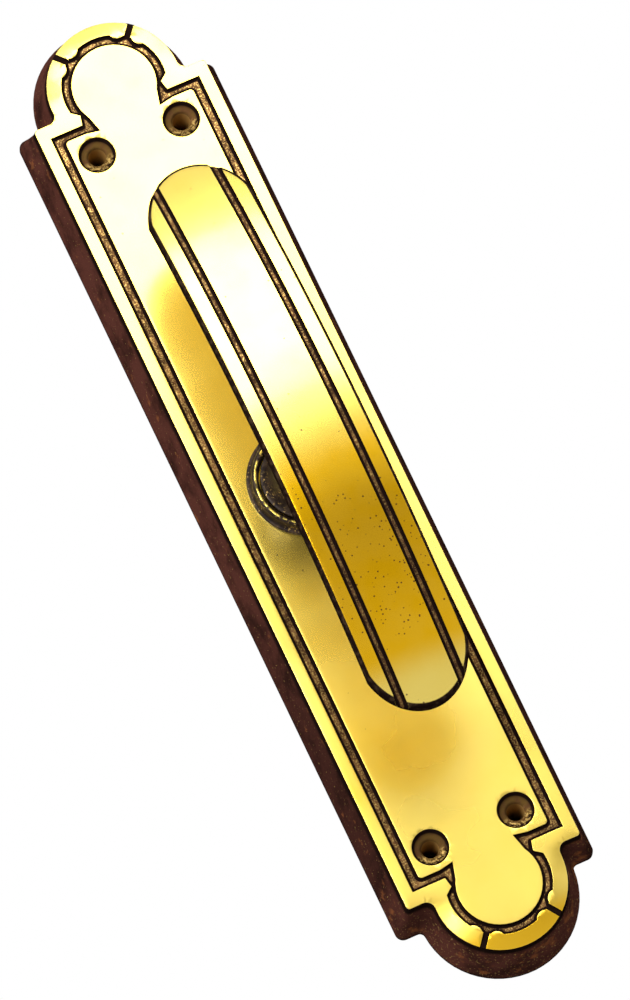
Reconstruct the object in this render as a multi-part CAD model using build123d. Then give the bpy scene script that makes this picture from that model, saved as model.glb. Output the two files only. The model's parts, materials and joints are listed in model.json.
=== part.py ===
from build123d import *
import os
from math import acos, asin, atan2, cos, degrees, pi, radians, sin, sqrt, tan

# A cremone bolt for a window or a glazed door: a long cast plate with a raised border, an arched
# bar grip on a neck, and behind the plate a pinion between two racks that drives two studs apart.
# Millimetres. X is across, Z is up along the plate and the front faces -Y.
# The origin is where the spindle's axis meets the door, so a height is a distance from the door.

# Plate, cast hollow
plate_height = 13.0
face_half_width = 19.75
wall_flare = 2.85
foot_height = 1.4
face_wall = 2.4
side_wall = 2.8
shoulder_z = 93.8
corner_radius = 0.7
foot_corner_radius = 1.8
cove_radius = 2.0
foot_cove_radius = 1.2
lobe_rise = 2.5
lobe_radius = 14.3
# The shoulders of the foot stand out by this share of the flare
foot_shoulder_share = 0.9
# Share of the way up the wall, and share of the flare that is left there
wall_profile_shares = ((0.38, 0.52), (0.74, 0.14))

# Raised border and field on the face
channel_depth = 0.9
border_width = 2.55
channel_width = 2.45
border_shoulder_width = 3.0
shoulder_channel_width = 2.0
field_corner_radius = 0.8
knob_radius = 9.05
ring_channel_width = 2.15
neck_half_width = 6.9
neck_rise = 3.0
notch_dip = 0.6
notch_reach = 3.2
petal_foot_half_width = 9.85
petal_bend_half_width = 9.35
petal_bend_rise = 2.2
petal_foot_rise = 3.5
gap_angle = 38.5
gap_width = 1.3
border_tip_radius = 1.9

# Screw holes to the door
door_hole_x = 9.75
door_hole_drop = 10.3
door_hole_radius = 1.9
countersink_radius = 4.0
countersink_depth = 1.9
# Share of the depth, and share of the rim's radius, where the dished sink bends
dish_bend_shares = (0.68, 0.82)
door_boss_radius = 4.9

# Grip, an arched bar with two sunk lines
grip_top = 56.0
grip_length = 128.0
grip_half_width = 11.4
grip_thickness = 7.0
grip_end_thickness = 3.0
belly_flat_depth = 0.3
grip_crown = 0.45
grip_edge_radius = 0.9
grip_edge_height = 3.4
grip_end_reach = 14.0
# The rounded ends are struck a little wider than the bar
grip_end_share = 1.04
arch_radius = 176.5
line_inner_x = 5.75
line_width = 2.1
line_depth = 0.8
pad_radius = 9.6
pad_height = 1.5
spigot_radius = 5.5
spigot_length = 4.0

# Neck
neck_gap = 0.3
neck_base_radius = 9.4
neck_base_height = 1.5
waist_radius = 6.9
waist_low_share = 0.30
waist_top_share = 0.72
journal_radius = 6.5
journal_lip = 0.5

# Collar and bush in the plate
collar_height = 3.3
collar_foot_height = 0.8
collar_foot_width = 1.1
collar_rim_width = 1.5
collar_rim_bead = 0.7
bush_flange_gap = 0.5
bush_flange = 1.0
bush_wall = 1.5
running_clearance = 0.08
side_gap = 0.3

# Spindle, grub screw and clip
spindle_side = 7.0
spindle_end_room = 6.5
spindle_chamfer = 0.6
spindle_fit = 0.05
grub_radius = 2.5
grub_height_share = 0.38
grub_sunk = 0.4
grub_socket_radius = 1.2
grub_socket_depth = 1.8
clip_thickness = 0.6
clip_width = 2.7
clip_groove_depth = 0.7
clip_mouth_angle = 60
clip_eye_radius = 1.1

# Pinion and racks
module_size = 1.25
pinion_teeth = 16
pressure_angle = 20
backlash = 0.24
rack_addendum = 1.0
dedendum = 1.55
pinion_hub_radius = 6.0
quarter_turn = 90
rack_tail = 10.0
mesh_reach = 8.3
stud_end_room = 15.0
foot_half_height = 5.0
foot_reach = 5.2
rack_fillet = 1.5

# Drive studs
stud_radius = 4.0
stud_shoulder = 0.5
stud_reach = 11.0
stud_chamfer = 0.8
rivet_radius = 3.0

# Gear case and its cover
case_wall = 1.2
case_side_gap = 0.45
case_corner_radius = 2.0
ear_length = 11.6
ear_gap = 1.0
ear_half_width = 8.0
cover_thickness = 1.6
cover_sunk = 0.6
cover_screw_radius = 1.9
cover_screw_head_radius = 3.4
cover_screw_head_depth = 1.4
cover_screw_end_gap = 1.2
screw_clearance = 0.2
cover_boss_radius = 4.2
guide_thickness = 0.8

# Detent
cam_thickness = 1.6
cam_half_side = 6.5
cam_corner_radius = 3.0
spring_thickness = 0.5
spring_flat_half = 5.0
spring_rise = 1.6
spring_gap = 0.03
pin_x = 12.5
pin_radius = 1.0
pin_gap = 0.02

# Cuts run this far past what they cut
overrun = 2.0

# Heights that the pieces share
ceiling = plate_height - face_wall
case_floor = ceiling - case_wall
cam_front = case_floor - side_gap
cam_back = cam_front - cam_thickness
rack_front = cam_back - side_gap
cover_front = cover_sunk + cover_thickness
rack_back = cover_front + side_gap
bush_back = ceiling - running_clearance * 2
bush_front = plate_height + bush_flange
neck_base = bush_front + neck_gap
journal_back = cam_front + running_clearance
clip_back = journal_back + journal_lip
spindle_back = cover_sunk + running_clearance
grip_under = grip_top - grip_thickness
pad_under = grip_under - pad_height
spindle_front = pad_under - spindle_end_room
neck_length = pad_under - neck_base

# Places and radii that the pieces share
lobe_z = shoulder_z + lobe_rise
border_shoulder_z = shoulder_z - border_shoulder_width
field_shoulder_z = border_shoulder_z - shoulder_channel_width
ring_radius = knob_radius + ring_channel_width
channel_outer_x = face_half_width - border_width
field_half_width = channel_outer_x - channel_width
cavity_half_width = face_half_width - side_wall
door_hole_z = shoulder_z - door_hole_drop
ear_end_z = door_hole_z - door_boss_radius - ear_gap
case_half_length = ear_end_z - ear_length
cover_screw_z = ear_end_z - ear_length / 2
stud_z = case_half_length - stud_end_room
case_half_width = cavity_half_width - case_side_gap
case_inner_half = case_half_width - case_wall
rack_outer_x = case_inner_half - guide_thickness - running_clearance
bush_bore_radius = journal_radius + running_clearance
bush_radius = bush_bore_radius + bush_wall
bush_flange_radius = neck_base_radius - bush_flange_gap
collar_bore_radius = neck_base_radius + neck_gap
collar_rim_radius = collar_bore_radius + collar_rim_width
collar_radius = collar_rim_radius + collar_foot_width
clip_groove_radius = journal_radius - clip_groove_depth
clip_radius = clip_groove_radius + clip_width
pitch_radius = module_size * pinion_teeth / 2
tooth_pitch = pi * module_size
travel = pitch_radius * radians(quarter_turn)
pin_z = cam_half_side + spring_gap + spring_rise + spring_thickness + pin_gap + pin_radius


def facing(height):
    """A plane across the door at a height above it, seen from the front."""
    return Plane(origin=(0, -height, 0), x_dir=(1, 0, 0), z_dir=(0, -1, 0))


def slab(shape, low, high):
    """A flat shape as a plate between two heights."""
    return extrude(facing(low) * shape, amount=high - low, dir=(0, -1, 0))


def disc(radius, low, high, x=0, z=0):
    """A round plate, pin or hole between two heights."""
    return slab(Pos(x, z) * Circle(radius), low, high)


def cone(low_radius, high_radius, low, high, x=0, z=0):
    """A cone between two heights."""
    ends = [facing(low) * Pos(x, z) * Circle(low_radius), facing(high) * Pos(x, z) * Circle(high_radius)]
    return loft(ends, ruled=True)


def turned(points):
    """A turned piece, from the points of its half outline in radius and height."""
    return revolve(make_face(Polyline(*[(r, -h) for r, h in points], close=True)), axis=Axis.Y)


def hollow_curve(wide, low, narrow, high, steps):
    """Points of a hollow throat, a quarter ellipse from a wide end to a narrow one."""
    turns = [radians(quarter_turn) * k / steps for k in range(steps + 1)]
    return [(wide - (wide - narrow) * sin(a), low + (high - low) * (1 - cos(a))) for a in turns]


def both_ends(shape):
    """A flat shape and its copy at the other end of the plate."""
    return shape + mirror(shape, about=Plane.XZ)


def four_places(x, z):
    """The four mirrored places of a hole pattern."""
    return [(x, z), (-x, z), (x, -z), (-x, -z)]


def write(solid, name):
    """Write one node to its own STEP file."""
    export_step(solid, "parts/" + name + ".step")


def plate_outline(flare, corner, cove):
    """The plate's outline, grown by a flare: straight sides, shoulders, coves and round lobes."""
    half = face_half_width + flare
    shoulder = shoulder_z + flare * foot_shoulder_share
    lobe = lobe_radius + flare
    cove_z = shoulder + cove - lobe_z
    cove_x = sqrt((lobe + cove) ** 2 - cove_z ** 2)
    turn = degrees(atan2(cove_z, cove_x))
    quarter = [
        Line((half, 0), (half, shoulder - corner)),
        CenterArc((half - corner, shoulder - corner), corner, 0, 90),
        Line((half - corner, shoulder), (cove_x, shoulder)),
        CenterArc((cove_x, shoulder + cove), cove, 270, turn - 90),
        CenterArc((0, lobe_z), lobe, turn, 90 - turn),
    ]
    upper = quarter + [mirror(edge, about=Plane.YZ) for edge in quarter]
    return make_face(upper + [mirror(edge, about=Plane.XZ) for edge in upper])


def plate_body():
    """The solid plate, whose wall sweeps out in a hollow curve to an upright foot."""
    rise = plate_height - foot_height
    sections = [facing(0) * plate_outline(wall_flare, foot_corner_radius, foot_cove_radius)]
    steps = ((0, 1),) + wall_profile_shares + ((1, 0),)
    for up, left in steps:
        corner = corner_radius + (foot_corner_radius - corner_radius) * left
        cove = cove_radius + (foot_cove_radius - cove_radius) * left
        outline = plate_outline(wall_flare * left, corner, cove)
        sections.append(facing(foot_height + rise * up) * outline)
    return loft(sections, ruled=True)


def field_shape():
    """The raised field: a long panel with a notched neck and a round knob at each end."""
    panel = RectangleRounded(field_half_width * 2, field_shoulder_z * 2, field_corner_radius)
    neck_top_z = field_shoulder_z + neck_rise
    knob_x = sqrt(knob_radius ** 2 - (lobe_z - neck_top_z) ** 2)
    notch_z = field_shoulder_z - notch_dip
    neck = make_face(Polyline(
        (-neck_half_width, notch_z), (neck_half_width, notch_z),
        (knob_x, neck_top_z), (-knob_x, neck_top_z), close=True))
    notch = make_face(Polyline(
        (neck_half_width, notch_z), (neck_half_width + notch_reach, field_shoulder_z),
        (neck_half_width, field_shoulder_z + overrun), close=True))
    notches = notch + mirror(notch, about=Plane.YZ)
    return panel - both_ends(notches) + both_ends(Pos(0, lobe_z) * Circle(knob_radius) + neck)


def arc_place(radius, angle):
    """A place on a circle about a lobe's centre, the angle taken from straight up."""
    return (radius * sin(radians(angle)), lobe_z + radius * cos(radians(angle)))


def border_opening():
    """All that lies inside the border: the panel's surround, the lobe's ring and two slanting gaps."""
    surround = Rectangle(channel_outer_x * 2, border_shoulder_z * 2)
    bend_z = border_shoulder_z + petal_bend_rise
    top_z = border_shoulder_z + petal_foot_rise
    join_x = sqrt(ring_radius ** 2 - (lobe_z - top_z) ** 2)
    throat = make_face(Polyline(
        (-petal_foot_half_width, border_shoulder_z), (petal_foot_half_width, border_shoulder_z),
        (petal_bend_half_width, bend_z), (join_x, top_z),
        (-join_x, top_z), (-petal_bend_half_width, bend_z), close=True))
    above = Pos(0, top_z + ring_radius) * Rectangle(ring_radius * 4, ring_radius * 2)
    shape = ((Pos(0, lobe_z) * Circle(ring_radius)) & above) + throat
    reach = lobe_radius + overrun
    for side in (1, -1):
        slot = Rot(0, 0, -side * gap_angle) * Rectangle(gap_width, reach)
        shape += Pos(*arc_place(reach / 2, side * gap_angle)) * slot
    return surround + both_ends(shape)


def border_ends():
    """The clubbed ends of the border's crown and petals, each side of the slanting gaps."""
    centre_radius = lobe_radius - border_tip_radius
    spread = degrees((gap_width / 2 + border_tip_radius) / centre_radius)
    shapes = Sketch()
    for side in (1, -1):
        for turn in (-spread, spread):
            shapes += Pos(*arc_place(centre_radius, side * (gap_angle + turn))) * Circle(border_tip_radius)
    return both_ends(shapes)


def channel_shape():
    """The sunk channel between the border and the field."""
    return border_opening() - field_shape() - border_ends()


def cavity_shape():
    """The hollow of the casting, left solid round the door screws."""
    hollow = Rectangle(cavity_half_width * 2, (shoulder_z - side_wall) * 2)
    hollow += both_ends(Pos(0, lobe_z) * Circle(lobe_radius - side_wall))
    for x, z in four_places(door_hole_x, door_hole_z):
        hollow -= Pos(x, z) * Circle(door_boss_radius)
    return hollow


def escutcheon_plate():
    """The hollow cast plate, with its relief, screw bosses and spindle hole."""
    body = plate_body()
    body -= slab(channel_shape(), plate_height - channel_depth, plate_height + overrun)
    body -= slab(cavity_shape(), -overrun, ceiling)
    boss_back = cover_front + case_wall
    for z in (cover_screw_z, -cover_screw_z):
        body += disc(cover_boss_radius, boss_back, ceiling, 0, z)
        body -= disc(cover_screw_radius, boss_back - overrun, ceiling - cover_screw_end_gap, 0, z)
    for x, z in four_places(door_hole_x, door_hole_z):
        body -= disc(door_hole_radius, -overrun, plate_height + overrun, x, z)
        body -= door_sink(x, z)
    return body - disc(bush_radius, ceiling - overrun, plate_height + overrun)


def door_sink(x, z):
    """The dished sink of one door screw, steep at its rim and flatter round the hole."""
    depth_share, radius_share = dish_bend_shares
    bend_radius = countersink_radius * radius_share
    bend = plate_height - countersink_depth * depth_share
    floor = cone(door_hole_radius, bend_radius, plate_height - countersink_depth, bend, x, z)
    return floor + cone(bend_radius, countersink_radius, bend, plate_height, x, z)


def collar_ring():
    """The collar on the plate: a foot, a hollow side and a rolled rim."""
    foot_top = plate_height + collar_foot_height
    rim_z = plate_height + collar_height - collar_rim_bead
    middle = (collar_rim_radius + collar_bore_radius) / 2
    half = collar_rim_width / 2
    turns = [pi / 4, pi * 3 / 4]
    bead = [(middle + half * cos(a), rim_z + collar_rim_bead * sin(a)) for a in turns]
    side = [(collar_radius, foot_top), (collar_rim_radius, rim_z)]
    return turned([(collar_bore_radius, plate_height), (collar_radius, plate_height)] + side + bead
                  + [(collar_bore_radius, rim_z)])


def plate_bush():
    """The flanged plain bearing that is pressed into the plate."""
    body = disc(bush_radius, bush_back, plate_height) + disc(bush_flange_radius, plate_height, bush_front)
    return body - disc(bush_bore_radius, bush_back - overrun, bush_front + overrun)


def neck_outline():
    """Half of the neck's outline: journal, clip groove, base, hollow throat, waist and flared head."""
    base_top = neck_base + neck_base_height
    low = neck_base + neck_length * waist_low_share
    top = neck_base + neck_length * waist_top_share
    journal = [
        (0, journal_back), (journal_radius, journal_back), (journal_radius, clip_back),
        (clip_groove_radius, clip_back), (clip_groove_radius, clip_back + clip_thickness),
        (journal_radius, clip_back + clip_thickness), (journal_radius, neck_base),
        (neck_base_radius, neck_base),
    ]
    throat = hollow_curve(neck_base_radius, base_top, waist_radius, low, 3)
    head = hollow_curve(pad_radius, pad_under, waist_radius, top, 3)
    spigot_top = pad_under + spigot_length
    spigot = [(spigot_radius, pad_under), (spigot_radius, spigot_top), (0, spigot_top)]
    return journal + throat + head[::-1] + spigot


def neck():
    """The turned neck, with its journal, clip groove, square socket and grub screw hole."""
    body = turned(neck_outline())
    side = spindle_side + spindle_fit * 2
    body -= slab(Rectangle(side, side), journal_back - overrun, spindle_front + spindle_fit)
    return body - extrude(grub_plane() * Circle(grub_radius), amount=neck_base_radius)


def grub_plane():
    """The plane on the spindle's side where the grub screw stands, looking out along +X."""
    height = neck_base + neck_length * grub_height_share
    return Plane(origin=(spindle_side / 2, -height, 0), x_dir=(0, 0, 1), z_dir=(1, 0, 0))


def grub_screw():
    """The socket grub screw that holds the neck on the spindle."""
    length = waist_radius - grub_sunk - spindle_side / 2
    body = extrude(grub_plane() * Circle(grub_radius), amount=length)
    socket = grub_plane().offset(length - grub_socket_depth)
    return body - extrude(socket * RegularPolygon(grub_socket_radius, 6), amount=grub_socket_depth + overrun)


def grip_half_points():
    """The right half of the bar's section: crowned face, rounded edge, side and full belly."""
    edge_x = grip_half_width - grip_edge_radius
    shoulder = grip_top - grip_crown
    side_low = grip_top - grip_edge_height
    crown = [(edge_x * k / 4, grip_top - grip_crown * (k / 4) ** 2) for k in range(4)]
    turns = [radians(quarter_turn) * k / 3 for k in range(4)]
    edge = [(edge_x + grip_edge_radius * sin(a), shoulder - grip_edge_radius * (1 - cos(a))) for a in turns]
    turns = [radians(quarter_turn) * k / 6 for k in range(7)]
    belly = [(grip_half_width * cos(a), side_low - (side_low - grip_under) * sin(a)) for a in turns]
    return crown + edge + belly


def grip_section():
    """The bar's section, with the two sunk lines cut in its face."""
    half = grip_half_points()
    points = half + [(-x, h) for x, h in half[-2:0:-1]]
    shape = make_face(Polyline(*[(x, -h) for x, h in points], close=True))
    for side in (1, -1):
        cut = Rectangle(line_width, line_depth * 2 + grip_crown)
        shape -= Pos(side * (line_inner_x + line_width / 2), -grip_top) * cut
    return shape


def arch_fall(radius, reach):
    """How far an arch falls from its middle to a place along it."""
    return radius - sqrt(radius ** 2 - reach ** 2)


def belly_cut():
    """The flatter arch that thins the bar towards its ends, as a round block under it."""
    half = grip_length / 2
    belly = grip_under + belly_flat_depth
    fall = arch_fall(arch_radius, half) - (grip_top - belly - grip_end_thickness)
    radius = (half ** 2 + fall ** 2) / (fall * 2)
    block = Plane.YZ * Pos(radius - belly, 0) * Circle(radius)
    return extrude(block, amount=grip_half_width + overrun, both=True)


def grip():
    """The arched bar: its section swept about the arch's centre, thinned and cut to round ends."""
    half = grip_length / 2
    reach = degrees(asin((half + overrun) / arch_radius))
    hinge = Axis((0, arch_radius - grip_top, 0), (1, 0, 0))
    bar = revolve(grip_section().rotate(hinge, -reach), axis=hinge, revolution_arc=reach * 2)
    straight = half - grip_end_reach
    plan = Rectangle(grip_half_width * 2 + overrun * 2, straight * 2)
    end = Ellipse(grip_half_width * grip_end_share, grip_end_reach)
    plan += both_ends(Pos(0, straight) * end)
    bar &= slab(plan, 0, grip_top + overrun)
    bar -= belly_cut()
    pad = disc(pad_radius, pad_under, grip_under + grip_thickness / 2)
    return bar + pad - disc(spigot_radius, pad_under - overrun, pad_under + spigot_length)


def spindle():
    """The square spindle, its ends chamfered."""
    bar = slab(Rectangle(spindle_side, spindle_side), spindle_back, spindle_front)
    ends = bar.edges().filter_by(Axis.Y, reverse=True)
    return chamfer(ends, spindle_chamfer)


def square_hole(low, high):
    """The spindle's square hole through a piece."""
    side = spindle_side + spindle_fit * 2
    return slab(Rectangle(side, side), low - overrun, high + overrun)


def circlip():
    """The spring clip behind the bush, open at its mouth and with an eye each side of it."""
    ring = Circle(clip_radius) - Circle(clip_groove_radius)
    turn = radians(clip_mouth_angle / 2)
    far = clip_radius * 2
    ring -= make_face(Polyline((0, 0), (far * sin(turn), -far), (-far * sin(turn), -far), close=True))
    middle = (clip_radius + clip_groove_radius) / 2
    for side in (1, -1):
        ring += Pos(side * middle * sin(turn), -middle * cos(turn)) * Circle(clip_eye_radius)
    half_play = running_clearance / 2
    return slab(ring, clip_back + half_play, clip_back + clip_thickness - half_play)


def involute(angle):
    """The involute function of a pressure angle in radians."""
    return tan(angle) - angle


def pinion_outline():
    """The pinion's involute teeth as one closed outline, a gap on each side of it at rest."""
    base = pitch_radius * cos(radians(pressure_angle))
    tip = pitch_radius + module_size
    root = pitch_radius - dedendum
    half_tooth = pi / (2 * pinion_teeth) - backlash / (4 * pitch_radius) + involute(radians(pressure_angle))
    radii = [base + (tip - base) * k / 4 for k in range(5)]
    flank = [(root, half_tooth)] + [(r, half_tooth - involute(acos(base / r))) for r in radii]
    points = []
    for tooth in range(pinion_teeth):
        centre = 2 * pi * (tooth + 0.5) / pinion_teeth
        points += [(r * cos(centre - a), r * sin(centre - a)) for r, a in flank]
        points += [(r * cos(centre + a), r * sin(centre + a)) for r, a in reversed(flank)]
    return make_face(Polyline(*points, close=True))


def pinion():
    """The pinion, with the rear hub that turns in the cover."""
    body = slab(pinion_outline(), rack_back, rack_front)
    body += disc(pinion_hub_radius, spindle_back, rack_back)
    return body - square_hole(spindle_back, rack_front)


def detent_cam():
    """The square cam with round corners that the leaf springs press on."""
    side = cam_half_side * 2
    body = slab(RectangleRounded(side, side, cam_corner_radius), cam_back, cam_front)
    return body - square_hole(cam_back, cam_front)


def rack_teeth_points():
    """The toothed edge of the rack at +X, from its lowest tooth to its highest."""
    slope = tan(radians(pressure_angle))
    tip_x = pitch_radius - rack_addendum
    root_x = pitch_radius + dedendum
    pitch_half = tooth_pitch / 4 - backlash / 4
    tip_half = pitch_half - rack_addendum * slope
    root_half = pitch_half + dedendum * slope
    first = -int((rack_tail - root_half) / tooth_pitch)
    last = int((travel + mesh_reach - root_half) / tooth_pitch)
    points = []
    for tooth in range(first, last + 1):
        z = tooth * tooth_pitch
        points += [(root_x, z - root_half), (tip_x, z - tip_half)]
        points += [(tip_x, z + tip_half), (root_x, z + root_half)]
    return points


def rack():
    """One rack with its teeth at the right, and the foot that brings its stud to the middle."""
    root_x = pitch_radius + dedendum
    foot_low = stud_z - foot_half_height
    foot_high = stud_z + foot_half_height
    outline = [(rack_outer_x, -rack_tail), (root_x, -rack_tail)] + rack_teeth_points() + [
        (root_x, foot_low), (-foot_reach, foot_low), (-foot_reach, foot_high), (rack_outer_x, foot_high)]
    bar = slab(make_face(Polyline(*outline, close=True)), rack_back, rack_front)
    upright = bar.edges().filter_by(Axis.Y)
    corners = upright.filter_by_position(Axis.Z, foot_low - side_gap, foot_high + side_gap)
    bar = fillet(corners, rack_fillet)
    return bar - disc(rivet_radius, rack_back - overrun, rack_front + overrun, 0, stud_z)


def drive_stud():
    """The stud that drives the bolt rod: rivet end, shoulder in the cover's slot and free pin."""
    pin = disc(stud_radius, -stud_reach, 0, 0, stud_z)
    pin = chamfer(pin.edges().filter_by(GeomType.CIRCLE).sort_by(Axis.Y)[-1], stud_chamfer)
    pin += disc(stud_radius + stud_shoulder, 0, rack_back, 0, stud_z)
    return pin + disc(rivet_radius, rack_back, rack_front, 0, stud_z)


def half_turned(solid):
    """The same piece turned half round the spindle's axis, for the lower rack."""
    return solid.rotate(Axis.Y, 180)


def gear_case():
    """The pressed tray that holds the gear, with a screw ear at each end."""
    outer = RectangleRounded(case_half_width * 2, case_half_length * 2, case_corner_radius)
    inner = RectangleRounded(case_inner_half * 2, (case_half_length - case_wall) * 2,
                             case_corner_radius - case_wall)
    body = slab(outer, cover_front, ceiling) - slab(inner, cover_front - overrun, case_floor)
    ear = Rectangle(ear_half_width * 2, ear_length + case_wall)
    ears = both_ends(Pos(0, ear_end_z - (ear_length + case_wall) / 2) * ear)
    body += slab(ears, cover_front, cover_front + case_wall)
    for z in (cover_screw_z, -cover_screw_z):
        body -= disc(cover_screw_radius + screw_clearance, cover_front - overrun, ceiling, 0, z)
    return body - disc(clip_radius + side_gap, case_floor - overrun, ceiling + overrun)


def case_cover():
    """The back plate, with a bearing hole, two stud slots and countersunk screw holes."""
    outline = RectangleRounded(case_half_width * 2, ear_end_z * 2, case_corner_radius)
    body = slab(outline, cover_sunk, cover_front)
    body -= disc(pinion_hub_radius + running_clearance, cover_sunk - overrun, cover_front + overrun)
    slot = SlotCenterToCenter(travel + side_gap, (stud_radius + stud_shoulder + side_gap) * 2, rotation=90)
    slots = both_ends(Pos(0, stud_z - travel / 2) * slot)
    body -= slab(slots, cover_sunk - overrun, cover_front + overrun)
    for z in (cover_screw_z, -cover_screw_z):
        body -= screw_solid(z, screw_clearance / 2)
    return body


def screw_solid(z, grown):
    """A countersunk cover screw, or the hole for one where it is grown."""
    head_top = cover_sunk + cover_screw_head_depth
    shank = disc(cover_screw_radius + grown, cover_sunk, ceiling - cover_screw_end_gap, 0, z)
    head = cone(cover_screw_head_radius + grown, cover_screw_radius + grown, cover_sunk, head_top, 0, z)
    return shank + head


def cover_screws():
    """The two screws through the cover and the case into the plate's bosses."""
    return Compound(children=[screw_solid(z, 0) for z in (cover_screw_z, -cover_screw_z)])


def detent_spring():
    """The upper leaf spring, flat on the cam and hooked round a pin at each end."""
    flat_z = cam_half_side + spring_gap + spring_thickness / 2
    hook = pin_radius + pin_gap + spring_thickness / 2
    side = [
        Line((0, flat_z), (spring_flat_half, flat_z)),
        Line((spring_flat_half, flat_z), (pin_x, pin_z - hook)),
        CenterArc((pin_x, pin_z), hook, -90, 180),
    ]
    path = side + [mirror(edge, about=Plane.YZ) for edge in side]
    return slab(trace(path, spring_thickness), cam_back, cam_front)


def spring_pins():
    """The four pins on the case's floor that hold the leaf springs."""
    pins = [disc(pin_radius, cam_back, case_floor, x, z) for x, z in four_places(pin_x, pin_z)]
    return Compound(children=pins)


def rack_guide(side):
    """One nylon guide strip between a rack and the case's wall."""
    length = (case_half_length - case_wall - case_corner_radius) * 2
    strip = Pos(side * (case_inner_half - guide_thickness / 2), 0) * Rectangle(guide_thickness, length)
    return slab(strip, cover_front, case_floor)


def main():
    """Build every node and write it."""
    os.makedirs("parts", exist_ok=True)
    write(escutcheon_plate(), "escutcheon_plate")
    write(collar_ring(), "collar_ring")
    write(plate_bush(), "plate_bush")
    write(gear_case(), "gear_case")
    write(case_cover(), "case_cover")
    write(cover_screws(), "cover_screws")
    write(spring_pins(), "spring_pins")
    write(detent_spring(), "upper_detent_spring")
    write(half_turned(detent_spring()), "lower_detent_spring")
    write(rack_guide(1), "right_rack_guide")
    write(rack_guide(-1), "left_rack_guide")
    write(grip(), "grip")
    write(neck(), "neck")
    write(grub_screw(), "grub_screw")
    write(spindle(), "spindle")
    write(circlip(), "circlip")
    write(detent_cam(), "detent_cam")
    write(pinion(), "pinion")
    write(rack(), "upper_rack")
    write(half_turned(rack()), "lower_rack")
    write(drive_stud(), "upper_drive_stud")
    write(half_turned(drive_stud()), "lower_drive_stud")


main()
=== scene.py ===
import json
from math import cos, pi, radians, sin, sqrt

import bmesh
import bpy
from bpy.props import FloatProperty, FloatVectorProperty, IntProperty, PointerProperty
from mathutils import Matrix, Vector, noise
from mathutils.bvhtree import BVHTree
from mathutils.geometry import delaunay_2d_cdt
from mathutils.kdtree import KDTree


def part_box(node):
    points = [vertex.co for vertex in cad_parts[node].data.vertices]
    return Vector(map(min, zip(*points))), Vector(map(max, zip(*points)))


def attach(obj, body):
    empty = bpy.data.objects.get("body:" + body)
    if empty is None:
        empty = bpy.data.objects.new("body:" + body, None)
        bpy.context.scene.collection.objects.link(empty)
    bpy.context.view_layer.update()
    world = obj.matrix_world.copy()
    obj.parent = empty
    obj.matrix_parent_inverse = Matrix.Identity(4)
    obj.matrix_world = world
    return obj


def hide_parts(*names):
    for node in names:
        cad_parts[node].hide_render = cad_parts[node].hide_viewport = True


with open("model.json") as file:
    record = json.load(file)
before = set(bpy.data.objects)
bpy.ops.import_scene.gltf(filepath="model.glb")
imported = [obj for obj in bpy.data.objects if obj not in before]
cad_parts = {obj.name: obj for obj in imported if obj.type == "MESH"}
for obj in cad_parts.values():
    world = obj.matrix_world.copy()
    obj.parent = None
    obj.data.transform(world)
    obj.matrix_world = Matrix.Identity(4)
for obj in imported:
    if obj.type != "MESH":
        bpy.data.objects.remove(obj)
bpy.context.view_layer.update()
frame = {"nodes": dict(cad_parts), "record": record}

bl_info = {
    "name": "Cremone bolt",
    "version": (1, 0, 0),
    "blender": (4, 5, 0),
    "location": "3D View > Sidebar > Cremone",
    "description": "Dresses the cremone bolt in cast, polished and darkened brass and lights it",
    "category": "Object",
}

MM = 0.001
PLATE_LOW, PLATE_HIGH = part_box("escutcheon_plate")
GRIP_LOW, GRIP_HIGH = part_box("grip")
COLLAR_LOW, COLLAR_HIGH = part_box("collar_ring")
NECK_LOW, NECK_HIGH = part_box("neck")
BUSH_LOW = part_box("plate_bush")[0]
FACE_HEIGHT = -PLATE_LOW.y
DOOR_SCREWS = next(m for m in frame["record"]["mounts"] if m["name"] == "door_screws")["dims"]
SCREW_X = DOOR_SCREWS["spacing_x_mm"] * MM / 2
SCREW_Z = DOOR_SCREWS["spacing_y_mm"] * MM / 2
# What the relief meshes store at their vertices for the finishes
RELIEF_LAYERS = ("depth", "floor", "shade", "grain")
GRIP_LAYERS = RELIEF_LAYERS + ("inset",)
# Depth of the finishes' bumps at a height of 1
BUMP_DEPTH = 0.02 * MM
# Relief deeper than the second value is sunk, and less deep than the first is polished
SUNK_DEPTHS = (0.06 * MM, 0.14 * MM)
# Colour, grain for each axis, roughness and tarnish of each steel
STEELS = {
    "zinc_plated_steel": ((0.62, 0.60, 0.52), (500.0, 500.0, 90.0), 0.30, (0.50, 0.44, 0.30)),
    "machined_steel": ((0.45, 0.45, 0.46), (2600.0, 2600.0, 500.0), 0.24, (0.26, 0.23, 0.20)),
    "passivated_steel": ((0.70, 0.62, 0.42), (1500.0, 1500.0, 1500.0), 0.26, (0.55, 0.40, 0.22)),
    "blued_steel": ((0.30, 0.31, 0.34), (300.0, 3000.0, 3000.0), 0.25, (0.16, 0.15, 0.20)),
}
# The gear's pieces by their finish
GEAR_PIECES = {
    "zinc_plated_steel": ("gear_case", "case_cover"),
    "machined_steel": (
        "spring_pins", "grub_screw", "spindle", "detent_cam", "pinion", "upper_rack", "lower_rack",
        "upper_drive_stud", "lower_drive_stud"),
    "passivated_steel": ("cover_screws",),
    "blued_steel": ("upper_detent_spring", "lower_detent_spring", "circlip"),
    "natural_nylon": ("right_rack_guide", "left_rack_guide", "plate_bush"),
}
# Each lamp's place, its width and height, and its level beside a white of 1
LAMPS = {
    "softbox": ((0.11, -0.50, 0.33), (0.52, 0.30), 6.0),
    "side_light": ((-0.75, -0.45, 0.15), (0.5, 0.8), 1.6),
    "under_light": ((-0.37, -0.82, 0.17), (0.26, 0.36), 18.5),
}


def metres(value, description):
    return FloatProperty(description=description, default=value, unit="LENGTH", precision=5)


def plain(value, description):
    return FloatProperty(description=description, default=value)


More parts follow.
